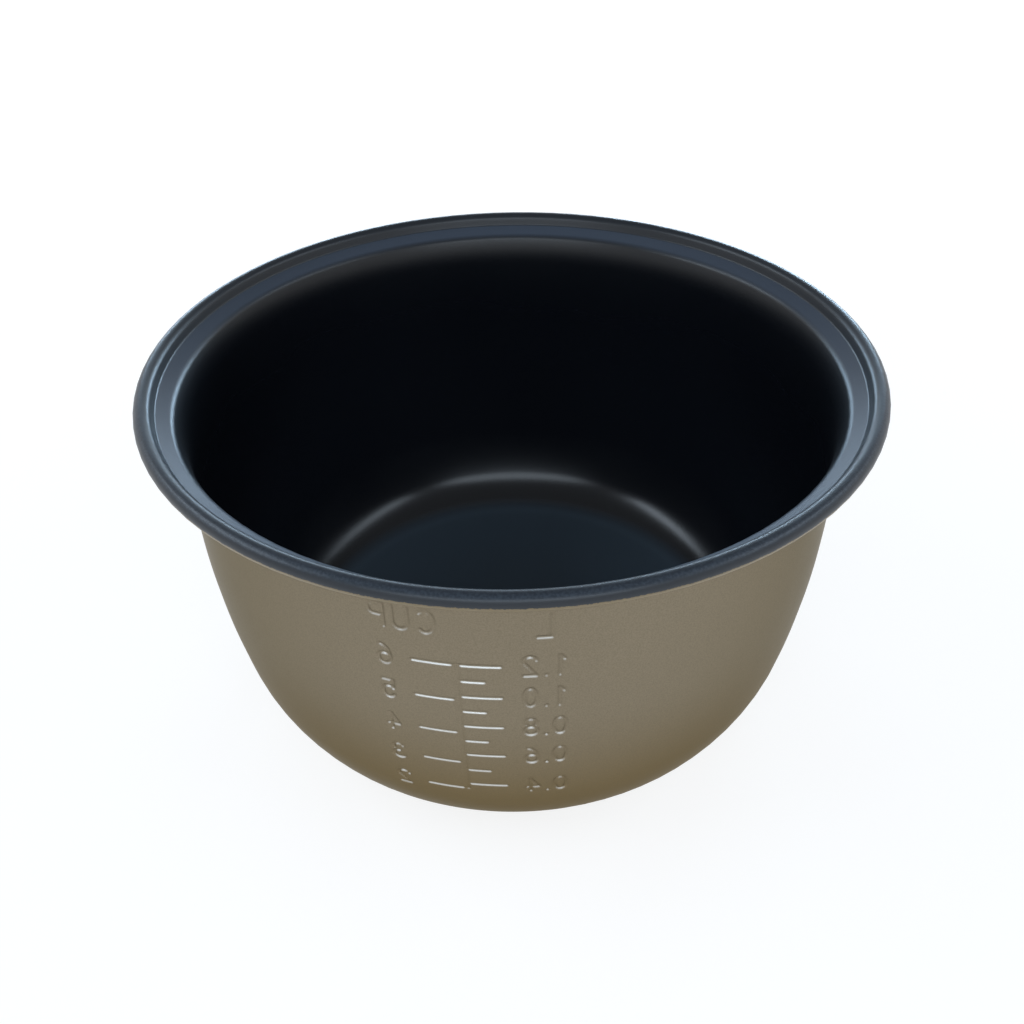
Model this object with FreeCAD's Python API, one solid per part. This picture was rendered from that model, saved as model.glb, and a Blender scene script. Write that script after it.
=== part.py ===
import FreeCAD, Part
import math
import os
from dataclasses import dataclass

# Inner pot of a rice cooker, in millimetres, +Z up, origin at the centre of the flat base.
# One aluminium blank is drawn into a bowl, its rim is stepped out and curled into a bead, and a
# measuring scale is pressed into the wall from outside, so it stands proud inside. A non-stick
# lining covers the inside, the rim and the bead, and a finish coat covers the outside wall.

# Overall size
RIM_DIAMETER = 220.0
TOTAL_HEIGHT = 116.24

# Sheet and coats
SHEET = 1.5
LINING = 0.2
OUTER_COAT = 0.2

# Bowl outline on the outside of the sheet: bends that turn the flat base up into the wall
CORNER_RADIUS = 22.0
BOWL_RADIUS = 59.0
BELLY_RADIUS = 267.0
BARE_HEEL_SLOPE = 9.0
CORNER_SLOPE = 60.0
BOWL_SLOPE = 78.7
WALL_SLOPE = 89.1

# Rim, with radii as they are seen from above, over the lining
FLARE_RADIUS = 22.0
FLARE_SLOPE = 66.0
SHOULDER_RADIUS = 3.5
LEDGE_SLOPE = 28.0
LEDGE_LENGTH = 3.6
FOOT_RADIUS = 1.0
STEP_SLOPE = 70.0
STEP_LENGTH = 1.8
BEAD_RADIUS = 2.5
LINING_END_SLOPE = -170.0
CURL_END_SLOPE = -200.0

# Pressed scale at the front: heights above the base, tick lengths from the spine's centre line
CUP_LEVELS = (29.9, 43.9, 57.8, 71.2, 84.0)
LITRE_LEVELS = (32.6, 40.2, 47.9, 54.3, 60.8, 66.8, 72.6, 78.3, 84.0)
CUP_TICK = 11.8
LONG_LITRE_TICK = 11.2
SHORT_LITRE_TICK = 7.0
MARK_WIDTH = 1.3
MARK_DEPTH = 0.6

FULL_TURN = 360.0
AXIS_POINT = FreeCAD.Vector(0, 0, 0)
AXIS_UP = FreeCAD.Vector(0, 0, 1)


@dataclass(frozen=True)
class Run:
    """A straight stretch of the sheet's outline, at a slope in degrees from horizontal."""

    name: str
    length: float
    slope: float


@dataclass(frozen=True)
class Bend:
    """A round stretch of the sheet's outline that turns from one slope to another."""

    name: str
    radius: float
    start: float
    end: float

    @property
    def side(self):
        """+1 for a bend about a centre inside the pot, -1 for one about a centre outside it."""
        return 1.0 if self.end > self.start else -1.0


@dataclass(frozen=True)
class Layer:
    """One piece of the pot: its depth in from the sheet's outside, its ends and its scale widths."""

    node: str
    outside: float
    inside: float
    first: str
    last: str
    groove_width: float
    ridge_width: float


def normal(slope):
    """Unit vector, in the outline's plane, from the sheet's outside towards the pot's inside."""
    angle = math.radians(slope)
    return FreeCAD.Vector(-math.sin(angle), 0, math.cos(angle))


def along(slope):
    """Unit vector, in the outline's plane, that climbs the sheet from the base to the rim."""
    angle = math.radians(slope)
    return FreeCAD.Vector(math.cos(angle), 0, math.sin(angle))


def travel(piece):
    """How far a run or a bend carries the outline."""
    if isinstance(piece, Run):
        return along(piece.slope) * piece.length
    return (normal(piece.start) - normal(piece.end)) * (piece.side * piece.radius)


def outline():
    """The sheet's outside from the axis to the end of the curl.

    The wall is as high as the total height asks for, and the flat base takes the radius that is
    left inside the bends.
    """
    wall = SHEET + LINING
    bends = [
        Bend("heel", CORNER_RADIUS, 0.0, BARE_HEEL_SLOPE),
        Bend("corner", CORNER_RADIUS, BARE_HEEL_SLOPE, CORNER_SLOPE),
        Bend("bowl", BOWL_RADIUS, CORNER_SLOPE, BOWL_SLOPE),
        Bend("belly", BELLY_RADIUS, BOWL_SLOPE, WALL_SLOPE),
    ]
    rim = [
        Bend("flare", FLARE_RADIUS - wall, WALL_SLOPE, FLARE_SLOPE),
        Bend("shoulder", SHOULDER_RADIUS - wall, FLARE_SLOPE, LEDGE_SLOPE),
        Run("ledge", LEDGE_LENGTH, LEDGE_SLOPE),
        Bend("foot", FOOT_RADIUS + wall, LEDGE_SLOPE, STEP_SLOPE),
        Run("step", STEP_LENGTH, STEP_SLOPE),
    ]
    curl_radius = BEAD_RADIUS - wall
    curl = [
        Bend("curl", curl_radius, STEP_SLOPE, LINING_END_SLOPE),
        Bend("curl_end", curl_radius, LINING_END_SLOPE, CURL_END_SLOPE),
    ]
    bead_centre = FreeCAD.Vector(RIM_DIAMETER / 2 - BEAD_RADIUS, 0, TOTAL_HEIGHT - BEAD_RADIUS)
    curl_start = bead_centre + normal(STEP_SLOPE) * curl_radius
    fixed = sum((travel(piece) for piece in bends + rim), FreeCAD.Vector())
    to_fill = curl_start - fixed
    wall_run = Run("wall", to_fill.z / along(WALL_SLOPE).z, WALL_SLOPE)
    base_run = Run("base", to_fill.x - travel(wall_run).x, 0.0)
    return [base_run] + bends + [wall_run] + rim + curl


def offset_edges(pieces, first, last, depth):
    """Edges of the outline from one named stretch to another, moved in from the outside by depth."""
    edges = []
    point = FreeCAD.Vector()
    names = [piece.name for piece in pieces]
    for index, piece in enumerate(pieces):
        if names.index(first) <= index <= names.index(last):
            edges.append(offset_edge(piece, point, depth))
        point = point + travel(piece)
    return edges


def offset_edge(piece, point, depth):
    """Edge of one stretch that starts at point, moved in from the outside by depth."""
    if isinstance(piece, Run):
        start = point + normal(piece.slope) * depth
        return Part.makeLine(start, start + travel(piece))
    centre = point + normal(piece.start) * (piece.side * piece.radius)
    reach = depth - piece.side * piece.radius
    slopes = (piece.start, (piece.start + piece.end) / 2, piece.end)
    return Part.Arc(*(centre + normal(slope) * reach for slope in slopes)).toShape()


def first_point(edges):
    """Point where a chain of edges starts."""
    return edges[0].Curve.value(edges[0].FirstParameter)


def last_point(edges):
    """Point where a chain of edges ends."""
    return edges[-1].Curve.value(edges[-1].LastParameter)


def revolved(edges):
    """Solid of revolution of a closed loop of edges about the pot's axis."""
    face = Part.Face(Part.Wire(Part.__sortEdges__(edges)))
    return face.revolve(AXIS_POINT, AXIS_UP, FULL_TURN)


def ring(pieces, layer):
    """The layer before the scale is pressed into it."""
    outside = offset_edges(pieces, layer.first, layer.last, layer.outside)
    inside = offset_edges(pieces, layer.first, layer.last, layer.inside)
    start = Part.makeLine(first_point(outside), first_point(inside))
    end = Part.makeLine(last_point(outside), last_point(inside))
    return revolved(outside + [end] + inside + [start])


def core(pieces, depth):
    """Everything within the wall at a depth in from the sheet's outside, up to the rim's shoulder."""
    edges = offset_edges(pieces, "base", "wall", depth)
    bottom = first_point(edges)
    top = last_point(edges)
    centre = FreeCAD.Vector(0, 0, top.z)
    return revolved(edges + [Part.makeLine(top, centre), Part.makeLine(centre, bottom)])


def bar(left, right, low, high):
    """A block that spans the front wall from left to right and from low to high."""
    reach = RIM_DIAMETER / 2
    return Part.makeBox(right - left, reach, high - low, FreeCAD.Vector(left, -reach, low))


def comb(width):
    """The scale as seen from the front: a spine, cup ticks on its left and litre ticks on its right."""
    half = width / 2
    spread = half - MARK_WIDTH / 2
    levels = CUP_LEVELS + LITRE_LEVELS
    spine = bar(-half, half, min(levels) - half, max(levels) + half)
    ticks = [bar(-CUP_TICK - spread, 0, level - half, level + half) for level in CUP_LEVELS]
    for index, level in enumerate(LITRE_LEVELS):
        length = SHORT_LITRE_TICK if index % 2 else LONG_LITRE_TICK
        ticks.append(bar(0, length + spread, level - half, level + half))
    return spine.multiFuse(ticks).removeSplitter()


def pressed(pieces, layer):
    """The layer with the scale pressed in: a groove outside and a ridge inside."""
    middle = (layer.outside + layer.inside) / 2
    ridge = comb(layer.ridge_width).common(core(pieces, middle))
    ridge = ridge.cut(core(pieces, layer.inside + MARK_DEPTH))
    groove = comb(layer.groove_width).cut(core(pieces, layer.outside + MARK_DEPTH))
    return ring(pieces, layer).fuse(ridge).cut(groove)


def layers():
    """The pot's three pieces, from the outside in."""
    shell_groove = MARK_WIDTH + 2 * OUTER_COAT
    lining_ridge = shell_groove + 2 * LINING
    return [
        Layer("outer_coating", -OUTER_COAT, 0.0, "corner", "ledge", MARK_WIDTH, shell_groove),
        Layer("pot_shell", 0.0, SHEET, "base", "curl_end", shell_groove, shell_groove),
        Layer("nonstick_lining", SHEET, SHEET + LINING, "base", "curl", shell_groove, lining_ridge),
    ]


def main():
    """Build each layer and write it as its own file."""
    os.makedirs("parts", exist_ok=True)
    pieces = outline()
    for piece in pieces:
        print(piece)
    for layer in layers():
        shape = pressed(pieces, layer)
        solids = shape.Solids
        print(layer.node, "solids", len(solids), "valid", shape.isValid(), "volume", round(shape.Volume, 1))
        solids[0].exportStep(f"parts/{layer.node}.step")


main()
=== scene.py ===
"""Looks of a rice cooker's inner pot, in metres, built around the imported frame.

The pot is one drawn aluminium sheet with a black non-stick lining and a champagne outer coating.
Each of the three layers is a closed surface of revolution: one outline of straight runs and round
bends is carried round the pot's axis, offset to the layer's two faces, and pushed in where the
measuring scale is pressed into the wall. The scale reads the right way from inside the pot, so it
is mirrored outside.
"""

import logging
import math
from dataclasses import dataclass, field
from enum import Enum
from typing import Sequence

import bpy
import numpy as np
from mathutils import Matrix, Vector

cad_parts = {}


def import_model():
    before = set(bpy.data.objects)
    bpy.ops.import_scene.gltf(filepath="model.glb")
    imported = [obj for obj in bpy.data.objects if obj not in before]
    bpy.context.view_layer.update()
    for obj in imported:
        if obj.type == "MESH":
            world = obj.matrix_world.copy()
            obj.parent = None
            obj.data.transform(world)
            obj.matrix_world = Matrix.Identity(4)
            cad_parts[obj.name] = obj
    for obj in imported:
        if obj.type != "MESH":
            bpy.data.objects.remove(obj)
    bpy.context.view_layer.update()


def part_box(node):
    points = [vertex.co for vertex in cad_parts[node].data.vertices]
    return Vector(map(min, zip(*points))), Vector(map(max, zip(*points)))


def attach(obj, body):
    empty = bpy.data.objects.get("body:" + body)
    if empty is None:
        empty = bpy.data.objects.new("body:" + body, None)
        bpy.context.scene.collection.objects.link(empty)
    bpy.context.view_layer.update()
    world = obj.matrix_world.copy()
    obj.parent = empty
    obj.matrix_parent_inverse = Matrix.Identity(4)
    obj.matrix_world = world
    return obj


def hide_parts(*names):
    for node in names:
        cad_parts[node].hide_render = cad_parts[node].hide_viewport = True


LOG = logging.getLogger("inner_pot")
MM = 0.001
ROOT_BODY = "root"
HEIGHT_TABLE = 2000
ROW_TABLE = 4000
ARC_STEP = 18.0
FEWEST_ARC_STEPS = 4
LINE_NUMBERS = 4
SHARP_ANGLE = 65.0
TINY_TURN = 1e-9
TINY_SQUARE = 1e-12
MIX_FIRST = 6
MIX_SECOND = 7
MIX_RESULT = 2
ROW_STEPS = {
    "base": 6.0 * MM, "heel": 1.2 * MM, "corner": 1.3 * MM, "bowl": 2.0 * MM, "belly": 2.0 * MM,
    "wall": 2.0 * MM, "flare": 0.8 * MM, "shoulder": 0.1 * MM, "ledge": 1.2 * MM,
    "foot": 0.25 * MM, "step": 0.9 * MM, "curl": 0.1 * MM, "curl_end": 0.1 * MM,
}
Colour = tuple[float, float, float]


@dataclass(frozen=True)
class Bend:
    """A stretch of the sheet's outline between two slopes, in degrees from horizontal.

    A stretch with equal slopes is straight and has a length; any other is an arc with a radius.
    """

    name: str
    start: float
    end: float
    radius: float = 0.0
    length: float = 0.0

    def span(self) -> float:
        """Length along the stretch."""
        if self.start == self.end:
            return self.length
        return self.radius * math.radians(abs(self.end - self.start))

    def travel(self) -> tuple[float, float]:
        """Radial and upward distance from the stretch's first point to its last."""
        first = math.radians(self.start)
        last = math.radians(self.end)
        if self.start == self.end:
            return self.length * math.cos(first), self.length * math.sin(first)
        turn = math.copysign(self.radius, self.end - self.start)
        return turn * (math.sin(last) - math.sin(first)), turn * (math.cos(first) - math.cos(last))


@dataclass
class SheetOutline:
    """Half section of the aluminium sheet's outer face, from the axis to the end of the curled rim."""

    rim_radius: float
    height: float
    sheet: float = 1.5 * MM
    lining: float = 0.2 * MM
    coat: float = 0.2 * MM
    corner_radius: float = 22.0 * MM
    bowl_radius: float = 59.0 * MM
    belly_radius: float = 267.0 * MM
    bare_heel_slope: float = 9.0
    corner_slope: float = 60.0
    bowl_slope: float = 78.7
    wall_slope: float = 89.1
    flare_radius: float = 22.0 * MM
    flare_slope: float = 66.0
    shoulder_radius: float = 3.5 * MM
    ledge_slope: float = 28.0
    ledge_length: float = 3.6 * MM
    foot_radius: float = 1.0 * MM
    step_slope: float = 70.0
    step_length: float = 1.8 * MM
    bead_radius: float = 2.5 * MM
    lining_end_slope: float = -170.0
    curl_end_slope: float = -200.0
    stretches: list[Bend] = field(default_factory=list)

    def __post_init__(self) -> None:
        """Fit the wall's height and the base's radius, then tabulate the stretches' joins."""
        wall = self.sheet + self.lining
        curl = self.bead_radius - wall
        bends = [
            Bend("heel", 0.0, self.bare_heel_slope, self.corner_radius),
            Bend("corner", self.bare_heel_slope, self.corner_slope, self.corner_radius),
            Bend("bowl", self.corner_slope, self.bowl_slope, self.bowl_radius),
            Bend("belly", self.bowl_slope, self.wall_slope, self.belly_radius),
        ]
        rim = [
            Bend("flare", self.wall_slope, self.flare_slope, self.flare_radius - wall),
            Bend("shoulder", self.flare_slope, self.ledge_slope, self.shoulder_radius - wall),
            Bend("ledge", self.ledge_slope, self.ledge_slope, length=self.ledge_length),
            Bend("foot", self.ledge_slope, self.step_slope, self.foot_radius + wall),
            Bend("step", self.step_slope, self.step_slope, length=self.step_length),
        ]
        curled = [
            Bend("curl", self.step_slope, self.lining_end_slope, curl),
            Bend("curl_end", self.lining_end_slope, self.curl_end_slope, curl),
        ]
        step = math.radians(self.step_slope)
        across = self.rim_radius - self.bead_radius - curl * math.sin(step)
        up = self.height - self.bead_radius + curl * math.cos(step)
        for bend in bends + rim:
            run, rise = bend.travel()
            across -= run
            up -= rise
        lean = math.radians(self.wall_slope)
        wall_run = Bend("wall", self.wall_slope, self.wall_slope, length=up / math.sin(lean))
        base_run = Bend("base", 0.0, 0.0, length=across - wall_run.travel()[0])
        self.stretches = [base_run] + bends + [wall_run] + rim + curled
        spans = [bend.span() for bend in self.stretches]
        moves = np.array([bend.travel() for bend in self.stretches])
        self.joins = np.concatenate([[0.0], np.cumsum(spans)])
        self.slopes = np.radians([bend.start for bend in self.stretches] + [self.curl_end_slope])
        self.corners = np.concatenate([np.zeros((1, 2)), np.cumsum(moves, axis=0)])

    def start_of(self, name: str) -> float:
        """Distance along the outline at which a named stretch starts."""
        return float(self.joins[[bend.name for bend in self.stretches].index(name)])

    def end_of(self, name: str) -> float:
        """Distance along the outline at which a named stretch ends."""
        return float(self.joins[[bend.name for bend in self.stretches].index(name) + 1])

    def slope_at(self, along: np.ndarray) -> np.ndarray:
        """Slope in radians: it stays along a straight run and turns evenly along a bend."""
        return np.interp(along, self.joins, self.slopes)

    def points(self, along: np.ndarray, depth: np.ndarray) -> tuple[np.ndarray, np.ndarray]:
        """Radius and height of points on the outline, moved in from its outer face.

        Along an arc the radius grows with the sine of the slope and the height falls with its
        cosine, both times the arc's signed radius; along a run both grow evenly. The offset goes
        along the normal, which is the slope's direction turned a quarter left.

        Args:
            along: Distances along the outline.
            depth: Distances in from the outer face, broadcast against along.

        Returns:
            Radii and heights.
        """
        slope = self.slope_at(along)
        index = np.clip(np.searchsorted(self.joins, along, side="right") - 1, 0, len(self.stretches) - 1)
        first = self.slopes[index]
        span = self.joins[index + 1] - self.joins[index]
        turn = self.slopes[index + 1] - first
        straight = np.abs(turn) < TINY_TURN
        arc = span / np.where(straight, 1.0, turn)
        gone = along - self.joins[index]
        run = np.where(straight, gone * np.cos(first), arc * (np.sin(slope) - np.sin(first)))
        rise = np.where(straight, gone * np.sin(first), arc * (np.cos(first) - np.cos(slope)))
        radius = self.corners[index, 0] + run - depth * np.sin(slope)
        height = self.corners[index, 1] + rise + depth * np.cos(slope)
        return radius, height

    def along_at_height(self, height: float) -> float:
        """Distance along the outline at which the outside wall reaches a height."""
        table = np.linspace(self.start_of("heel"), self.end_of("wall"), HEIGHT_TABLE)
        return float(np.interp(height, self.points(table, np.zeros(1))[1], table))


class Glyph(Enum):
    """Signs of the measuring scale, each a set of arcs and lines in a box 1 wide and 2 high.

    An arc is (centre across, centre up, half width, half height, first angle, last angle) and a
    line is (across, up, across, up), as the sign is read.
    """

    ZERO = ((0.0, 0.0, 0.5, 1.0, 0.0, 360.0),)
    ONE = ((0.05, -1.0, 0.05, 1.0), (0.05, 1.0, -0.3, 0.6))
    TWO = ((0.0, 0.5, 0.5, 0.5, 165.0, -30.0), (0.43, 0.25, -0.5, -1.0), (-0.5, -1.0, 0.5, -1.0))
    THREE = ((0.0, 0.5, 0.45, 0.5, 150.0, -90.0), (0.0, -0.5, 0.5, 0.5, 90.0, -150.0))
    FOUR = ((0.2, 1.0, -0.5, -0.35), (-0.5, -0.35, 0.5, -0.35), (0.2, 1.0, 0.2, -1.0))
    FIVE = ((0.45, 1.0, -0.4, 1.0), (-0.4, 1.0, -0.4, 0.05), (0.0, -0.35, 0.5, 0.65, 140.0, -150.0))
    SIX = ((0.0, -0.45, 0.5, 0.55, 0.0, 360.0), (0.35, -0.3, 0.85, 1.3, 180.0, 95.0))
    EIGHT = ((0.0, 0.5, 0.42, 0.5, 0.0, 360.0), (0.0, -0.5, 0.5, 0.5, 0.0, 360.0))
    POINT = ((0.0, -1.0, 0.0, -0.95),)
    LETTER_C = ((0.0, 0.0, 0.55, 1.0, 50.0, 310.0),)
    LETTER_U = ((-0.5, 1.0, -0.5, -0.4), (0.0, -0.4, 0.5, 0.6, 180.0, 360.0), (0.5, -0.4, 0.5, 1.0))
    LETTER_P = (
        (-0.5, -1.0, -0.5, 1.0),
        (-0.5, 1.0, 0.05, 1.0),
        (0.05, 0.5, 0.45, 0.5, 90.0, -90.0),
        (0.05, 0.0, -0.5, 0.0),
    )
    LETTER_L = ((-0.45, 1.0, -0.45, -1.0), (-0.45, -1.0, 0.45, -1.0))

    def segments(self) -> np.ndarray:
        """Straight pieces of the sign, as rows of (across, up, across, up)."""
        rows = []
        for stroke in self.value:
            if len(stroke) == LINE_NUMBERS:
                rows.append(np.array([stroke]))
                continue
            centre_across, centre_up, half_width, half_height, first, last = stroke
            steps = max(FEWEST_ARC_STEPS, int(abs(last - first) / ARC_STEP))
            angle = np.radians(np.linspace(first, last, steps + 1))
            across = centre_across + half_width * np.cos(angle)
            up = centre_up + half_height * np.sin(angle)
            rows.append(np.stack([across[:-1], up[:-1], across[1:], up[1:]], axis=1))
        return np.concatenate(rows)


@dataclass(frozen=True)
class Press:
    """How one kind of mark is pressed: its half width, the softness of its edge and its depth."""

    half_width: float
    edge: float
    depth: float


@dataclass
class MeasuringScale:
    """The pressed scale: a spine with cup ticks on its left and litre ticks on its right.

    Places across are arc lengths from the spine along the outside wall, positive to the right as
    seen from outside; heights are above the base.
    """

    cup_levels: Sequence[float] = (29.9 * MM, 43.9 * MM, 57.8 * MM, 71.2 * MM, 84.0 * MM)
    litre_levels: Sequence[float] = (
        32.6 * MM, 40.2 * MM, 47.9 * MM, 54.3 * MM, 60.8 * MM, 66.8 * MM, 72.6 * MM, 78.3 * MM, 84.0 * MM,
    )
    cup_tick: float = 11.2 * MM
    long_tick: float = 10.8 * MM
    short_tick: float = 6.6 * MM
    cup_tick_gap: float = 1.6 * MM
    litre_tick_gap: float = 0.95 * MM
    digit_width: float = 3.15 * MM
    digit_height: float = 6.7 * MM
    cup_digit_across: float = -18.7 * MM
    tenth_across: float = 18.2 * MM
    point_across: float = 22.2 * MM
    unit_across: float = 25.8 * MM
    letter_width: float = 3.9 * MM
    letter_height: float = 7.2 * MM
    letter_level: float = 97.5 * MM
    letter_c_across: float = -7.1 * MM
    letter_u_across: float = -13.5 * MM
    letter_p_across: float = -19.8 * MM
    letter_l_across: float = 21.8 * MM
    tick_press: Press = Press(0.5 * MM, 0.22 * MM, 0.42 * MM)
    spine_press: Press = Press(0.6 * MM, 0.3 * MM, 0.36 * MM)
    digit_press: Press = Press(0.42 * MM, 0.27 * MM, 0.5 * MM)
    letter_press: Press = Press(0.45 * MM, 0.3 * MM, 0.48 * MM)

    def spine(self) -> np.ndarray:
        """Centre line of the spine, as one row of (across, up, across, up)."""
        levels = list(self.cup_levels) + list(self.litre_levels)
        return np.array([(0.0, min(levels), 0.0, max(levels))])

    def ticks(self) -> np.ndarray:
        """Centre lines of all ticks, as rows of (across, up, across, up)."""
        rows = [(-self.cup_tick, level, -self.cup_tick_gap, level) for level in self.cup_levels]
        for index, level in enumerate(self.litre_levels):
            reach = self.short_tick if index % 2 else self.long_tick
            rows.append((self.litre_tick_gap, level, reach, level))
        return np.array(rows)

    def sign(self, glyph: Glyph, across: float, level: float, width: float, height: float) -> np.ndarray:
        """Centre lines of one sign in place, mirrored as it is seen from outside.

        Args:
            glyph: The sign.
            across: Arc length of its middle from the spine.
            level: Height of its middle.
            width: Width of the sign's box.
            height: Height of the sign's box.

        Returns:
            Rows of (across, up, across, up).
        """
        rows = glyph.segments()
        scale = np.array([-width, height / 2, -width, height / 2])
        return rows * scale + np.array([across, level, across, level])

    def digits(self) -> np.ndarray:
        """Centre lines of all numbers."""
        cups = (Glyph.TWO, Glyph.THREE, Glyph.FOUR, Glyph.FIVE, Glyph.SIX)
        units = (Glyph.ZERO, Glyph.ZERO, Glyph.ZERO, Glyph.ONE, Glyph.ONE)
        tenths = (Glyph.FOUR, Glyph.SIX, Glyph.EIGHT, Glyph.ZERO, Glyph.TWO)
        size = (self.digit_width, self.digit_height)
        rows = [self.sign(g, self.cup_digit_across, z, *size) for g, z in zip(cups, self.cup_levels)]
        for unit, tenth, level in zip(units, tenths, self.litre_levels[::2]):
            rows.append(self.sign(unit, self.unit_across, level, *size))
            rows.append(self.sign(Glyph.POINT, self.point_across, level, *size))
            rows.append(self.sign(tenth, self.tenth_across, level, *size))
        return np.concatenate(rows)

    def letters(self) -> np.ndarray:
        """Centre lines of the unit names at the head of the two columns."""
        heads = (
            (Glyph.LETTER_C, self.letter_c_across),
            (Glyph.LETTER_U, self.letter_u_across),
            (Glyph.LETTER_P, self.letter_p_across),
            (Glyph.LETTER_L, self.letter_l_across),
        )
        size = (self.letter_width, self.letter_height)
        return np.concatenate([self.sign(g, across, self.letter_level, *size) for g, across in heads])

    def pressed_depth(self, across: np.ndarray, height: np.ndarray, spread: float) -> np.ndarray:
        """Depth that the scale pushes the wall in, at points of the wall.

        A mark is deepest along its centre line and runs out to nothing down an even slope about
        its half width. Where marks meet, the deeper one counts.

        Args:
            across: Arc lengths from the spine.
            height: Heights above the base.
            spread: How much wider the marks are on this face than on the outermost one.

        Returns:
            Depths, shaped as the points are.
        """
        depth = np.zeros_like(across)
        groups = (
            (self.spine(), self.spine_press),
            (self.ticks(), self.tick_press),
            (self.digits(), self.digit_press),
            (self.letters(), self.letter_press),
        )
        for rows, press in groups:
            reach = press.half_width + press.edge + spread
            for across_0, up_0, across_1, up_1 in rows:
                near = across > min(across_0, across_1) - reach
                near &= across < max(across_0, across_1) + reach
                near &= height > min(up_0, up_1) - reach
                near &= height < max(up_0, up_1) + reach
                run = np.array([across_1 - across_0, up_1 - up_0])
                gap = np.stack([across[near] - across_0, height[near] - up_0])
                share = np.clip((run @ gap) / max(float(run @ run), TINY_SQUARE), 0.0, 1.0)
                distance = np.hypot(gap[0] - share * run[0], gap[1] - share * run[1])
                rise = np.clip((reach - distance) / (2 * press.edge), 0.0, 1.0)
                depth[near] = np.maximum(depth[near], press.depth * rise)
        return depth


@dataclass(frozen=True)
class Face:
    """One face of a layer: its depth in from the sheet's outside and how it follows the scale.

    A face that shows is pressed, with marks wider by its spread. A face between two layers is
    smooth, and lies deeper behind the scale by its recess so that it never shows through a mark.
    """

    depth: float
    row_step: float
    pressed: bool = False
    spread: float = 0.0
    recess: float = 0.0


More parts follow.
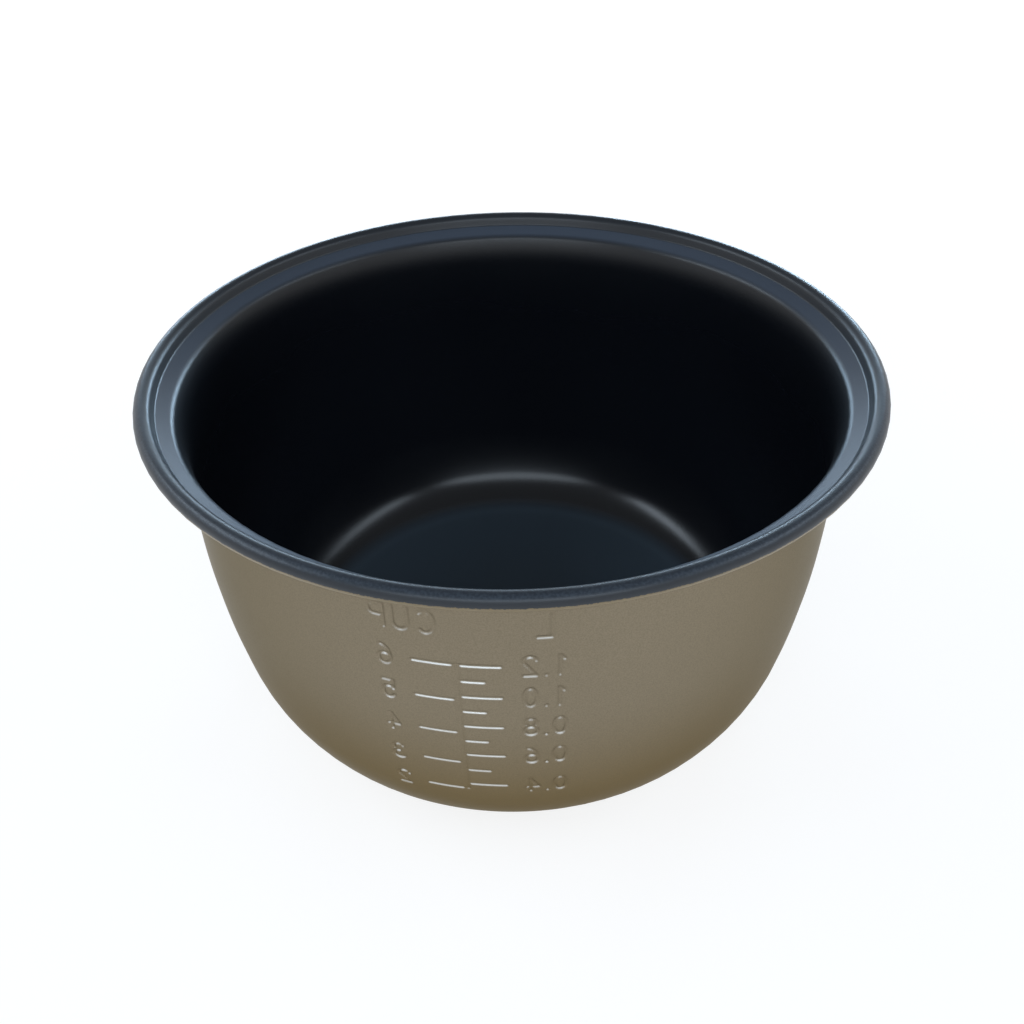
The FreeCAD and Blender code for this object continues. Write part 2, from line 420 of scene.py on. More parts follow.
@dataclass
class PotLayer:
    """One layer of the pot, as a closed surface of revolution with the scale pressed into it."""

    node: str
    first: str
    last: str
    outside: Face
    inside: Face
    outline: SheetOutline
    scale: MeasuringScale
    scale_low: float = 24.7 * MM
    scale_high: float = 102.2 * MM
    scale_left: float = -23.2 * MM
    scale_right: float = 28.6 * MM
    column_step: float = 0.38 * MM
    plain_turn: float = 4.0
    tick_reach: float = 0.85 * MM
    tick_share: float = 0.5

    def columns(self) -> np.ndarray:
        """Angles of the columns from the spine: close together across the scale, wide apart elsewhere.

        The scale is widest in angle at its foot, where the wall is narrowest.
        """
        foot = np.array([self.outline.along_at_height(self.scale_low)])
        radius = float(self.outline.points(foot, np.zeros(1))[0][0])
        left = self.scale_left / radius
        right = self.scale_right / radius
        close = np.linspace(left, right, int((self.scale_right - self.scale_left) / self.column_step) + 1)
        rest = left + 2 * math.pi - right
        wide = np.linspace(right, right + rest, int(math.degrees(rest) / self.plain_turn) + 1)
        return np.concatenate([close, wide[1:-1]])

    def scale_rows(self, face: Face, start: float, end: float) -> np.ndarray:
        """Distances along the outline of the rows across the scale, closer still at the ticks.

        The density of rows is summed along the outline, and the rows lie at even steps of the sum.

        Args:
            face: The face.
            start: Distance along the outline at which the rows start.
            end: Distance along the outline at which the rows end.

        Returns:
            Distances, from start to end.
        """
        table = np.linspace(start, end, ROW_TABLE)
        height = self.outline.points(table, np.zeros(1))[1]
        levels = np.array([*self.scale.cup_levels, *self.scale.litre_levels])
        near = np.abs(height[:, None] - levels).min(axis=1) < self.tick_reach
        step = np.where(near, self.tick_share * face.row_step, face.row_step)
        count = np.concatenate([[0.0], np.cumsum(np.diff(table) / step[1:])])
        return np.interp(np.linspace(0.0, count[-1], max(2, int(count[-1]) + 1)), count, table)

    def rows(self, face: Face) -> np.ndarray:
        """Distances along the outline of a face's rows: close together where the scale is.

        Args:
            face: The face.

        Returns:
            Distances, from the layer's first stretch to the end of its last.
        """
        outline = self.outline
        names = [bend.name for bend in outline.stretches]
        chosen = names[names.index(self.first):names.index(self.last) + 1]
        low = outline.along_at_height(self.scale_low)
        high = outline.along_at_height(self.scale_high)
        pieces = []
        for name in chosen:
            cuts = [outline.start_of(name), outline.end_of(name)]
            cuts = sorted(cuts + [edge for edge in (low, high) if cuts[0] < edge < cuts[1]])
            for start, end in zip(cuts[:-1], cuts[1:]):
                if low <= start and end <= high:
                    pieces.append(self.scale_rows(face, start, end)[:-1])
                    continue
                count = max(2, int(round((end - start) / ROW_STEPS[name])) + 1)
                pieces.append(np.linspace(start, end, count)[:-1])
        return np.concatenate(pieces + [[outline.end_of(self.last)]])

    def face_points(
        self, face: Face, along: np.ndarray, turn: np.ndarray,
    ) -> tuple[np.ndarray, np.ndarray]:
        """Points of one face on the grid of rows and columns, and how steeply its marks rise.

        A point lies at its row's radius and height, at the column's angle from the front, moved
        in along the outline's normal by the face's depth and by the depth of the pressed scale.
        The rise is the growth of the pressed depth upwards along the outline.

        Args:
            face: The face.
            along: Distances of the rows along the outline.
            turn: Angles of the columns from the spine.

        Returns:
            Array of rows by columns by 3, and array of rows by columns.
        """
        radius, height = self.outline.points(along, np.zeros(1))
        signed = (turn + math.pi) % (2 * math.pi) - math.pi
        across = radius[:, None] * signed[None, :]
        level = np.broadcast_to(height[:, None], across.shape)
        if face.pressed:
            pushed = self.scale.pressed_depth(across, level, face.spread)
        else:
            behind = (level >= self.scale_low) & (level <= self.scale_high)
            behind &= (across >= self.scale_left) & (across <= self.scale_right)
            pushed = np.where(behind, face.recess, 0.0)
        rise = np.gradient(pushed, along, axis=0)
        radius, height = self.outline.points(along[:, None], face.depth + pushed)
        return np.stack([radius * np.sin(turn), -radius * np.cos(turn), height], axis=-1), rise

    def build(self) -> bpy.types.Object:
        """Make the layer's object: outside rows upwards, then inside rows back down.

        Returns:
            The new object, linked to the scene.
        """
        turn = self.columns()
        outer_rows = self.rows(self.outside)
        inner_rows = self.rows(self.inside)[::-1]
        outer, outer_rise = self.face_points(self.outside, outer_rows, turn)
        inner, inner_rise = self.face_points(self.inside, inner_rows, turn)
        along = np.concatenate([outer_rows, inner_rows])
        mesh = loop_mesh(self.node + "_mesh", np.concatenate([outer, inner]), poles=self.first == "base")
        slope = np.degrees(self.outline.slope_at(along))
        past_wall = (along - self.outline.end_of("wall")) / MM
        per_point = {
            "outline_slope": np.repeat(slope, len(turn)),
            "past_wall": np.repeat(past_wall, len(turn)),
            "mark_rise": np.concatenate([outer_rise, inner_rise]).ravel(),
        }
        for name, values in per_point.items():
            if self.first == "base":
                values = values[len(turn) - 1:len(values) - len(turn) + 1]
            store_attribute(mesh, name, values)
        mesh.set_sharp_from_angle(angle=math.radians(SHARP_ANGLE))
        piece = bpy.data.objects.new(self.node + "_surface", mesh)
        bpy.context.scene.collection.objects.link(piece)
        return piece


def loop_mesh(name: str, grid: np.ndarray, poles: bool) -> bpy.types.Mesh:
    """Make a mesh from rows of points that each close round the axis.

    Args:
        name: Name of the mesh.
        grid: Rows by columns by 3; the columns close on themselves.
        poles: True if the first and last rows are points on the axis, False if the last row
            joins the first.

    Returns:
        The mesh, smooth shaded, with its faces outwards.
    """
    count, wide = grid.shape[:2]
    index = np.arange(count * wide).reshape(count, wide)
    points = grid.reshape(-1, 3)
    if poles:
        points = points[wide - 1:len(points) - wide + 1]
        index = np.clip(index - (wide - 1), 0, len(points) - 1)
        lower = index[1:-2]
        upper = index[2:-1]
    else:
        lower = index
        upper = np.roll(index, -1, axis=0)
    after = (np.roll(lower, -1, axis=1), np.roll(upper, -1, axis=1))
    quads = np.stack([lower, *after, upper], axis=-1).reshape(-1, 4)
    tris = np.zeros((0, 3), dtype=int)
    if poles:
        bottom = np.stack([index[0], np.roll(index[1], -1), index[1]], axis=-1)
        top = np.stack([index[-2], np.roll(index[-2], -1), index[-1]], axis=-1)
        tris = np.concatenate([bottom, top])
    mesh = bpy.data.meshes.new(name)
    corners = np.concatenate([quads.ravel(), tris.ravel()])
    starts = np.concatenate([np.arange(len(quads)) * 4, quads.size + np.arange(len(tris)) * 3])
    mesh.vertices.add(len(points))
    mesh.vertices.foreach_set("co", points.ravel())
    mesh.loops.add(len(corners))
    mesh.loops.foreach_set("vertex_index", corners)
    mesh.polygons.add(len(starts))
    mesh.polygons.foreach_set("loop_start", starts)
    mesh.polygons.foreach_set("use_smooth", np.ones(len(starts), dtype=bool))
    mesh.update(calc_edges=True)
    mesh.validate()
    return mesh


def store_attribute(mesh: bpy.types.Mesh, name: str, values: np.ndarray) -> None:
    """Store one number for each point of a mesh under a name."""
    attribute = mesh.attributes.new(name, "FLOAT", "POINT")
    attribute.data.foreach_set("value", values.astype(np.float32))


class ShaderGraph:
    """Short calls to add, set and link nodes in a material's or a group's tree."""

    def __init__(self, tree: bpy.types.NodeTree) -> None:
        """Start from an empty tree."""
        self.tree = tree
        tree.nodes.clear()

    def add(self, kind: str, **settings: object) -> bpy.types.Node:
        """Add a node and set its properties.

        Args:
            kind: The node's type.
            settings: Properties by name.

        Returns:
            The node.
        """
        node = self.tree.nodes.new(kind)
        for key, value in settings.items():
            setattr(node, key, value)
        return node

    def feed(self, source: object, node: bpy.types.Node, socket: str | int) -> None:
        """Link an output to an input, or set the input to a plain value.

        Args:
            source: An output socket or a value.
            node: The node that is fed.
            socket: Name or place of its input.
        """
        if isinstance(source, bpy.types.NodeSocket):
            self.tree.links.new(source, node.inputs[socket])
        else:
            node.inputs[socket].default_value = source

    def math(self, operation: str, first: object, second: object = 0.0) -> bpy.types.NodeSocket:
        """One arithmetic step.

        Args:
            operation: The step's name.
            first: First output or number.
            second: Second output or number.

        Returns:
            The result.
        """
        node = self.add("ShaderNodeMath", operation=operation)
        self.feed(first, node, 0)
        self.feed(second, node, 1)
        return node.outputs[0]

    def ramp(self, value: object, low: float, high: float) -> bpy.types.NodeSocket:
        """A smooth step from 0 at low to 1 at high.

        Args:
            value: Output or number that is stepped.
            low: Value at which the step starts.
            high: Value at which it is full.

        Returns:
            The step.
        """
        node = self.add("ShaderNodeMapRange", interpolation_type="SMOOTHSTEP")
        self.feed(value, node, "Value")
        self.feed(low, node, "From Min")
        self.feed(high, node, "From Max")
        return node.outputs["Result"]

    def mix(self, share: object, first: object, second: object) -> bpy.types.NodeSocket:
        """A blend of two colours.

        Args:
            share: Share of the second colour.
            first: First output or colour.
            second: Second output or colour.

        Returns:
            The blend.
        """
        node = self.add("ShaderNodeMix", data_type="RGBA")
        self.feed(share, node, "Factor")
        self.feed(first, node, MIX_FIRST)
        self.feed(second, node, MIX_SECOND)
        return node.outputs[MIX_RESULT]

    def noise(self, place: object, waves: object, detail: float = 2.0) -> bpy.types.NodeSocket:
        """Noise at a number of waves per metre.

        Args:
            place: Coordinates.
            waves: Waves per metre, as an output or a number.
            detail: How many finer waves are added.

        Returns:
            The noise, about 0.5.
        """
        node = self.add("ShaderNodeTexNoise")
        self.feed(place, node, "Vector")
        self.feed(waves, node, "Scale")
        self.feed(detail, node, "Detail")
        return node.outputs["Fac"]

    def place(self) -> bpy.types.NodeSocket:
        """Object coordinates, in metres."""
        return self.add("ShaderNodeTexCoord").outputs["Object"]


def opaque(colour: Colour) -> tuple[float, float, float, float]:
    """A colour with full cover."""
    return (*colour, 1.0)


class SurfaceEffects:
    """Node groups that more than one finish uses."""

    coarse_waves: float = 0.31
    coarse_height: float = 0.5
    fine_detail: float = 3.0
    cloud_detail: float = 4.0
    shade_range: tuple[float, float] = (0.35, 0.68)
    cloud_range: tuple[float, float] = (0.3, 0.72)

    def __init__(self) -> None:
        """Build each group once."""
        self.grain = self._grain()
        self.smudge = self._smudge()

    @staticmethod
    def _group(
        name: str, inputs: Sequence[str], outputs: Sequence[str],
    ) -> tuple[bpy.types.NodeTree, ShaderGraph]:
        """A new group with number inputs and outputs.

        Args:
            name: Name of the group.
            inputs: Names of its inputs.
            outputs: Names of its outputs.

        Returns:
            The group and calls to fill it.
        """
        tree = bpy.data.node_groups.new(name, "ShaderNodeTree")
        for label in inputs:
            tree.interface.new_socket(label, in_out="INPUT", socket_type="NodeSocketFloat")
        for label in outputs:
            tree.interface.new_socket(label, in_out="OUTPUT", socket_type="NodeSocketFloat")
        return tree, ShaderGraph(tree)

    def _grain(self) -> bpy.types.NodeTree:
        """Fine grain of a sprayed coat: a height for bump and a shade for colour."""
        tree, graph = self._group("sprayed_grain", ("Waves per metre",), ("Height", "Shade"))
        waves = graph.add("NodeGroupInput").outputs["Waves per metre"]
        leave = graph.add("NodeGroupOutput")
        place = graph.place()
        fine = graph.noise(place, waves, self.fine_detail)
        coarse = graph.noise(place, graph.math("MULTIPLY", waves, self.coarse_waves))
        swell = graph.math("MULTIPLY", coarse, self.coarse_height)
        graph.feed(graph.math("ADD", swell, fine), leave, "Height")
        graph.feed(graph.ramp(fine, *self.shade_range), leave, "Shade")
        return tree

    def _smudge(self) -> bpy.types.NodeTree:
        """Slow uneven handling marks: a mask from 0 to 1."""
        tree, graph = self._group("handling_smudge", ("Waves per metre",), ("Mask",))
        waves = graph.add("NodeGroupInput").outputs["Waves per metre"]
        leave = graph.add("NodeGroupOutput")
        cloud = graph.noise(graph.place(), waves, self.cloud_detail)
        graph.feed(graph.ramp(cloud, *self.cloud_range), leave, "Mask")
        return tree

    def use(self, graph: ShaderGraph, group: bpy.types.NodeTree, waves: float) -> bpy.types.Node:
        """Place a group in a material with its own wave count.

        Args:
            graph: The material's tree.
            group: The group.
            waves: Waves per metre.

        Returns:
            The group's node.
        """
        node = graph.add("ShaderNodeGroup", node_tree=group)
        graph.feed(waves, node, "Waves per metre")
        return node


def new_material(name: str) -> tuple[bpy.types.Material, ShaderGraph, bpy.types.Node]:
    """A material with an empty tree and one Principled shader on its output.

    Args:
        name: Name of the material.

    Returns:
        The material, calls to fill its tree, and its shader.
    """
    material = bpy.data.materials.new(name)
    material.use_nodes = True
    graph = ShaderGraph(material.node_tree)
    shader = graph.add("ShaderNodeBsdfPrincipled")
    output = graph.add("ShaderNodeOutputMaterial")
    graph.feed(shader.outputs[0], output, "Surface")
    return material, graph, shader


def add_bump(
    graph: ShaderGraph, shader: bpy.types.Node, height: object, distance: float, strength: float,
) -> None:
    """Feed a height through a Bump node to a shader's normal.

    Args:
        graph: The material's tree.
        shader: The shader.
        height: Output that gives the height.
        distance: Depth of the bump, in metres.
        strength: Strength of the bump.
    """
    bump = graph.add("ShaderNodeBump")
    graph.feed(strength, bump, "Strength")
    graph.feed(distance, bump, "Distance")
    graph.feed(height, bump, "Height")
    graph.feed(bump.outputs[0], shader, "Normal")


@dataclass(frozen=True)
class LiningFinish:
    """Black non-stick coat: smooth in the bowl, with painted light on its floor, greyer and duller on the
    handled rim.

    It has painted light on the ledge, and painted shade that keeps the step below the bead black and
    darkens the bead's outer side; its overspray runs out thin and brown under the bead. Places on the rim
    are in millimetres along the outside of the sheet from the wall's end, and slopes are in degrees.
    """

    black: Colour = (0.0035, 0.0045, 0.007)
    # Painted light: a lighter, bluer colour for the bowl's floor.
    floor_painted_light: Colour = (0.052, 0.073, 0.096)
    rim_grey: Colour = (0.031, 0.045, 0.066)
    rim_speck: Colour = (0.076, 0.1, 0.132)
    # Painted light: a lighter grey for the ledge.
    ledge_painted_light: Colour = (0.042, 0.056, 0.08)
    # Painted shade: a near black for the step, which faces into the bowl.
    step_painted_shade: Colour = (0.012, 0.015, 0.02)
    # Painted shade: a darker colour for the bead's outer side, which faces down.
    bead_underside_painted_shade: Colour = (0.02, 0.025, 0.032)
    overspray: Colour = (0.24, 0.17, 0.08)
    bowl_gloss: float = 0.24
    rim_gloss: float = 0.36
    refraction: float = 1.45
    dull_start: float = -25.0
    dull_full: float = 9.0
    rim_start: float = 8.3
    rim_end: float = 9.6
    step_start: float = 12.8
    step_full: float = 14.2
    bead_start: float = 17.2
    bead_full: float = 19.2
    floor_start: float = 30.0
    floor_full: float = 6.0
    side_start: float = -25.0
    side_full: float = -60.0
    wrap_start: float = -84.0
    wrap_end: float = -116.0
    bare_start: float = 0.7
    bare_full: float = 1.0
    speck_share: float = 0.9
    smudge_share: float = 0.25
    grain_waves: float = 1500.0
    smudge_waves: float = 22.0
    speck_waves: float = 1400.0
    speck_detail: float = 3.0
    bump_depth: float = 0.03 * MM
    bump_strength: float = 0.3

    def material(self, effects: SurfaceEffects) -> bpy.types.Material:
        """Build the finish's material.

        Args:
            effects: The shared node groups.

        Returns:
            The material.
        """
        material, graph, shader = new_material("nonstick_black")
        grain = effects.use(graph, effects.grain, self.grain_waves)
        smudge = effects.use(graph, effects.smudge, self.smudge_waves)
        slope = graph.add("ShaderNodeAttribute", attribute_name="outline_slope").outputs["Fac"]
        past_wall = graph.add("ShaderNodeAttribute", attribute_name="past_wall").outputs["Fac"]
        on_rim = graph.ramp(past_wall, self.rim_start, self.rim_end)
        # Painted light: the floor of the bowl is made lighter than its walls.
        level = graph.ramp(slope, self.floor_start, self.floor_full)
        on_floor = graph.math("SUBTRACT", level, on_rim)
        bowl = graph.mix(on_floor, opaque(self.black), opaque(self.floor_painted_light))
        handled = graph.mix(grain.outputs["Shade"], opaque(self.rim_grey), opaque(self.rim_speck))
        past_ledge = graph.ramp(past_wall, self.step_start, self.step_full)
        past_step = graph.ramp(past_wall, self.bead_start, self.bead_full)
        on_step = graph.math("SUBTRACT", past_ledge, past_step)
        # Painted shade: the bead's outer side is made darker where it faces down.
        on_side = graph.ramp(slope, self.side_start, self.side_full)
        bead = graph.mix(on_side, handled, opaque(self.bead_underside_painted_shade))
        # Painted light: the ledge is made lighter than the bead.
        ledge = graph.mix(past_ledge, opaque(self.ledge_painted_light), bead)
        # Painted shade: the step below the bead is made near black.
        rim = graph.mix(on_step, ledge, opaque(self.step_painted_shade))
        coat = graph.mix(on_rim, bowl, rim)
        wrapped = graph.ramp(slope, self.wrap_start, self.wrap_end)
        speck = graph.noise(graph.place(), self.speck_waves, self.speck_detail)
        specked = graph.math("ADD", wrapped, graph.math("MULTIPLY", speck, self.speck_share))
        bare = graph.ramp(specked, self.bare_start, self.bare_full)
        graph.feed(graph.mix(bare, coat, opaque(self.overspray)), shader, "Base Color")
        rough = graph.add("ShaderNodeMapRange")
        dull = graph.ramp(past_wall, self.dull_start, self.dull_full)
        smudged = graph.math("MULTIPLY", smudge.outputs["Mask"], self.smudge_share)
        graph.feed(graph.math("ADD", dull, smudged), rough, "Value")
        graph.feed(self.bowl_gloss, rough, "To Min")
        graph.feed(self.rim_gloss, rough, "To Max")
        graph.feed(rough.outputs["Result"], shader, "Roughness")
        graph.feed(self.refraction, shader, "IOR")
        add_bump(graph, shader, grain.outputs["Height"], self.bump_depth, self.bump_strength)
        return material


@dataclass(frozen=True)
class CoatFinish:
    """Champagne metallic coat with a fine sprayed grain and painted shade that makes it darker and
    browner towards the base.

    It has a painted highlight along the lower slopes of the pressed marks, which face up.
    """

    champagne: Colour = (0.262, 0.218, 0.154)
    # Painted shade: a darker, browner colour at the base.
    painted_shade_bronze: Colour = (0.186, 0.129, 0.052)
    dark_flake: Colour = (0.135, 0.113, 0.074)
    # Painted highlight on the up-facing lower slopes of the pressed marks, with the rises at which it
    # starts and is full.
    painted_mark_highlight: Colour = (0.6, 0.585, 0.55)
    painted_mark_highlight_from: float = 0.3
    painted_mark_highlight_full: float = 0.95
    flake_share: float = 0.3
    metallic: float = 0.75
    edge_tint: Colour = (0.42, 0.39, 0.33)
    gloss: float = 0.34
    dulled: float = 0.42
    # Heights at which the painted shade is full and at which it has faded out.
    painted_shade_full_level: float = 4.0 * MM
    painted_shade_end_level: float = 69.0 * MM
    specular_level: float = 0.3
    grain_waves: float = 2600.0
    smudge_waves: float = 16.0
    bump_depth: float = 0.04 * MM
    bump_strength: float = 0.4

    def material(self, effects: SurfaceEffects) -> bpy.types.Material:
        """Build the finish's material.

        Args:
            effects: The shared node groups.

        Returns:
            The material.
        """
        material, graph, shader = new_material("champagne_coat")
        grain = effects.use(graph, effects.grain, self.grain_waves)
        smudge = effects.use(graph, effects.smudge, self.smudge_waves)
        split = graph.add("ShaderNodeSeparateXYZ")
        graph.feed(graph.place(), split, 0)
        # Painted shade: darker and browner from the upper height down to the base.
        high = graph.ramp(split.outputs["Z"], self.painted_shade_full_level, self.painted_shade_end_level)
        base = graph.mix(high, opaque(self.painted_shade_bronze), opaque(self.champagne))
        flake = graph.math("MULTIPLY", grain.outputs["Shade"], self.flake_share)
        flaked = graph.mix(flake, base, opaque(self.dark_flake))
        rise = graph.add("ShaderNodeAttribute", attribute_name="mark_rise").outputs["Fac"]
        # Painted highlight: the coat is lighter where the pressed depth grows upwards, on the marks'
        # lower slopes.
        painted_mark_highlight = graph.ramp(rise, self.painted_mark_highlight_from, self.painted_mark_highlight_full)
        graph.feed(graph.mix(painted_mark_highlight, flaked, opaque(self.painted_mark_highlight)), shader, "Base Color")
        graph.feed(self.metallic, shader, "Metallic")
        graph.feed(opaque(self.edge_tint), shader, "Specular Tint")
        graph.feed(self.specular_level, shader, "Specular IOR Level")
        rough = graph.add("ShaderNodeMapRange")
        graph.feed(smudge.outputs["Mask"], rough, "Value")
        graph.feed(self.gloss, rough, "To Min")
        graph.feed(self.dulled, rough, "To Max")
        graph.feed(rough.outputs["Result"], shader, "Roughness")
        add_bump(graph, shader, grain.outputs["Height"], self.bump_depth, self.bump_strength)
        return material


@dataclass(frozen=True)
class SheetFinish:
    """Bare aluminium of the base and the curl, with fine turned rings."""

    bright: Colour = (0.74, 0.74, 0.73)
    dull: Colour = (0.69, 0.69, 0.68)
    gloss: float = 0.32
    rings_per_metre: float = 420.0
    ring_wobble: float = 1.5
    grit_share: float = 0.4
    smudge_waves: float = 30.0
    grain_waves: float = 3200.0
    bump_depth: float = 0.03 * MM
    bump_strength: float = 0.5

    def material(self, effects: SurfaceEffects) -> bpy.types.Material:
        """Build the finish's material.

        Args:
            effects: The shared node groups.

        Returns:
            The material.
        """
        material, graph, shader = new_material("bare_aluminium")
        smudge = effects.use(graph, effects.smudge, self.smudge_waves)
        grain = effects.use(graph, effects.grain, self.grain_waves)
        rings = graph.add("ShaderNodeTexWave", wave_type="RINGS", rings_direction="Z")
        graph.feed(graph.place(), rings, "Vector")
        graph.feed(self.rings_per_metre, rings, "Scale")
        graph.feed(self.ring_wobble, rings, "Distortion")
        metal = graph.mix(smudge.outputs["Mask"], opaque(self.bright), opaque(self.dull))
        graph.feed(metal, shader, "Base Color")
        graph.feed(1.0, shader, "Metallic")
        graph.feed(self.gloss, shader, "Roughness")
        grit = graph.math("MULTIPLY", grain.outputs["Height"], self.grit_share)
        height = graph.math("ADD", rings.outputs["Fac"], grit)
        add_bump(graph, shader, height, self.bump_depth, self.bump_strength)
        return material


@dataclass
class InnerPot:
    """The whole pot: three layers on one outline, each dressed in its own finish."""

    outline: SheetOutline
    scale: MeasuringScale = field(default_factory=MeasuringScale)
    visible_step: float = 0.3 * MM
    lining_step: float = 0.55 * MM
    hidden_step: float = 3.0 * MM
    hidden_recess: float = 0.6 * MM
    lining_spread: float = 0.2 * MM

    def layers(self) -> list[PotLayer]:
        """The layers, from the outside in."""
        sheet = self.outline.sheet
        inmost = sheet + self.outline.lining
        coat_face = Face(-self.outline.coat, self.visible_step, pressed=True)
        sheet_outside = Face(0.0, self.hidden_step, recess=self.hidden_recess)
        sheet_inside = Face(sheet, self.hidden_step)
        lining_face = Face(inmost, self.lining_step, pressed=True, spread=self.lining_spread)
        shared = (self.outline, self.scale)
        return [
            PotLayer("outer_coating", "corner", "ledge", coat_face, sheet_outside, *shared),
            PotLayer("pot_shell", "base", "curl_end", sheet_outside, sheet_inside, *shared),
            PotLayer("nonstick_lining", "base", "curl", sheet_inside, lining_face, *shared),
        ]

    def dress(self, effects: SurfaceEffects) -> dict[str, bpy.types.Material]:
        """Materials of the layers, by node."""
        return {
            "outer_coating": CoatFinish().material(effects),
            "pot_shell": SheetFinish().material(effects),
            "nonstick_lining": LiningFinish().material(effects),
        }

    def build(self) -> None:
        """Make the three pieces, put them on the pot's body and dress them."""
        materials = self.dress(SurfaceEffects())
        for layer in self.layers():
            piece = layer.build()
            piece.data.materials.append(materials[layer.node])
            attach(piece, ROOT_BODY)
            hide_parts(layer.node)
            triangles = sum(len(face.vertices) - 2 for face in piece.data.polygons)
            LOG.info("%s: %d triangles", piece.name, triangles)


@dataclass(frozen=True)
class PhotoCamera:
    """The camera at the photograph's place, from a fit of the rim, the wall and the scale.

    Places are in metres and angles in degrees; the lens and the sensor are in millimetres.
    """

    distance: float = 0.32417
    elevation: float = 29.495
    azimuth: float = 8.55
    roll: float = -1.096
    aim_across: float = -0.000475
    aim_height: float = 0.055546
    rim_level: float = 0.11374
    lens: float = 37.425
    sensor: float = 36.0

    def build(self) -> None:
        """Place the camera and make it the scene's own."""
        tilt = math.radians(self.elevation)
        swing = Matrix.Rotation(math.radians(self.azimuth), 3, "Z")
        rise = self.rim_level + self.distance * math.sin(tilt)
        eye = swing @ Vector((0.0, -self.distance * math.cos(tilt), rise))
        aim = swing @ Vector((self.aim_across, 0.0, self.aim_height))
        forward = (aim - eye).normalized()
        right = forward.cross(Vector((0.0, 0.0, 1.0))).normalized()
        up = right.cross(forward)
        lean = math.radians(self.roll)
        leaned_right = right * math.cos(lean) + up * math.sin(lean)
        leaned_up = up * math.cos(lean) - right * math.sin(lean)
        turn = Matrix((leaned_right, leaned_up, -forward)).transposed()
        data = bpy.data.cameras.new("photo_camera")
        data.sensor_fit = "HORIZONTAL"
        data.sensor_width = self.sensor
        data.lens = self.lens
        camera = bpy.data.objects.new("photo_camera", data)
        camera.matrix_world = Matrix.Translation(eye) @ turn.to_4x4()
        bpy.context.scene.collection.objects.link(camera)
        bpy.context.scene.camera = camera


@dataclass(frozen=True)
class Softbox:
    """A soft square lamp that points at a place above the base."""

    name: str
    place: tuple[float, float, float]
    size: tuple[float, float]
    power: float
    colour: Colour
    aim: tuple[float, float, float] = (0.0, 0.0, 0.06)

    def build(self) -> None:
        """Add the lamp."""
        data = bpy.data.lights.new(self.name, "AREA")
        data.shape = "RECTANGLE"
        data.size, data.size_y = self.size
        data.energy = self.power
        data.color = self.colour
        lamp = bpy.data.objects.new(self.name, data)
        place = Vector(self.place)
        lamp.location = place
        lamp.rotation_euler = (Vector(self.aim) - place).to_track_quat("-Z", "Y").to_euler()
        bpy.context.scene.collection.objects.link(lamp)


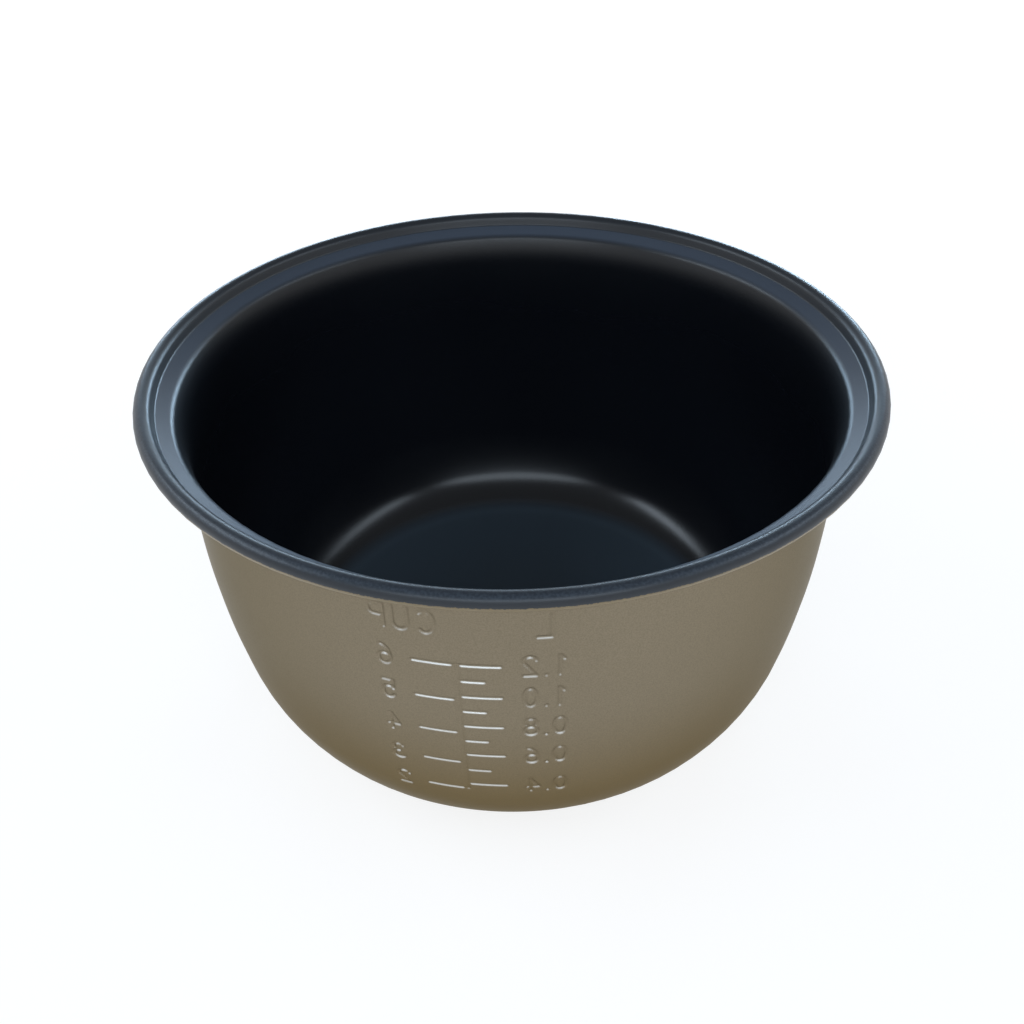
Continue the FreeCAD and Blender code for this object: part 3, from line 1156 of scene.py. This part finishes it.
@dataclass(frozen=True)
class Studio:
    """Pale floor with a wall round it far off, a dim even sky and soft lamps."""

    floor_radius: float = 6.0
    wall_height: float = 3.2
    sides: int = 96
    floor_colour: Colour = (0.88, 0.88, 0.88)
    seen_colour: Colour = (0.3, 0.3, 0.3)
    seen_glow: float = 0.79
    roughness: float = 0.9
    sky: Colour = (0.9, 0.95, 1.0)
    sky_level: float = 0.32

    def backdrop(self) -> None:
        """The floor and the wall as one dish round the pot."""
        turn = np.linspace(0.0, 2 * math.pi, self.sides, endpoint=False)
        circle = np.stack([np.cos(turn), np.sin(turn)], axis=-1) * self.floor_radius
        rim = np.concatenate([circle, np.full((self.sides, 1), self.wall_height)], axis=1)
        foot = np.concatenate([circle, np.zeros((self.sides, 1))], axis=1)
        index = np.arange(self.sides)
        after = np.roll(index, -1)
        wall = np.stack([index, index + self.sides, after + self.sides, after], axis=-1)
        mesh = bpy.data.meshes.new("backdrop")
        mesh.from_pydata(np.concatenate([foot, rim]).tolist(), [], wall.tolist() + [index.tolist()])
        backdrop = bpy.data.objects.new("backdrop", mesh)
        bpy.context.scene.collection.objects.link(backdrop)
        mesh.materials.append(self.pale())

    def pale(self) -> bpy.types.Material:
        """Matt white that the camera and reflections see as partly lit from within, with soft shadows."""
        material, graph, shader = new_material("pale_backdrop")
        ray = graph.add("ShaderNodeLightPath").outputs
        mirrored = graph.math("MAXIMUM", ray["Is Glossy Ray"], ray["Is Transmission Ray"])
        seen = graph.math("MAXIMUM", ray["Is Camera Ray"], mirrored)
        colour = graph.mix(seen, opaque(self.floor_colour), opaque(self.seen_colour))
        graph.feed(colour, shader, "Base Color")
        graph.feed(self.roughness, shader, "Roughness")
        graph.feed(0.0, shader, "Specular IOR Level")
        graph.feed(opaque((1.0, 1.0, 1.0)), shader, "Emission Color")
        graph.feed(graph.math("MULTIPLY", seen, self.seen_glow), shader, "Emission Strength")
        return material

    def world(self) -> None:
        """Even dim sky."""
        world = bpy.data.worlds.new("sky")
        world.use_nodes = True
        graph = ShaderGraph(world.node_tree)
        background = graph.add("ShaderNodeBackground")
        output = graph.add("ShaderNodeOutputWorld")
        graph.feed(opaque(self.sky), background, "Color")
        graph.feed(self.sky_level, background, "Strength")
        graph.feed(background.outputs[0], output, "Surface")
        bpy.context.scene.world = world

    def lamps(self) -> None:
        """Two small low lamps behind the pot, and long low ones in front and on both sides."""
        blue = (0.52, 0.76, 1.0)
        cool = (0.76, 0.88, 1.0)
        for lamp in (
            Softbox("back_left_lamp", (-0.66, 1.27, 0.33), (0.75, 0.2), 6.0, blue),
            Softbox("back_right_lamp", (0.31, 1.4, 0.33), (0.75, 0.2), 9.0, blue),
            Softbox("front_lamp", (0.2, -1.4, 1.1), (2.0, 0.5), 12.0, cool),
            Softbox("left_lamp", (-1.4, -0.1, 1.2), (1.5, 0.3), 10.0, cool),
            Softbox("right_lamp", (1.4, 0.1, 1.2), (1.5, 0.3), 6.0, cool),
        ):
            lamp.build()

    def build(self) -> None:
        """Make the backdrop, the sky and the lamps."""
        self.backdrop()
        self.world()
        self.lamps()


def main() -> None:
    """Load the frame, build the pot to the lining's box, then its studio and camera."""
    logging.basicConfig(level=logging.INFO, format="%(name)s: %(message)s")
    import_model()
    low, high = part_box("nonstick_lining")
    InnerPot(SheetOutline(rim_radius=(high[0] - low[0]) / 2, height=high[2])).build()
    Studio().build()
    PhotoCamera().build()
    bpy.context.scene.view_settings.view_transform = "Standard"


if __name__ == "__main__":
    main()
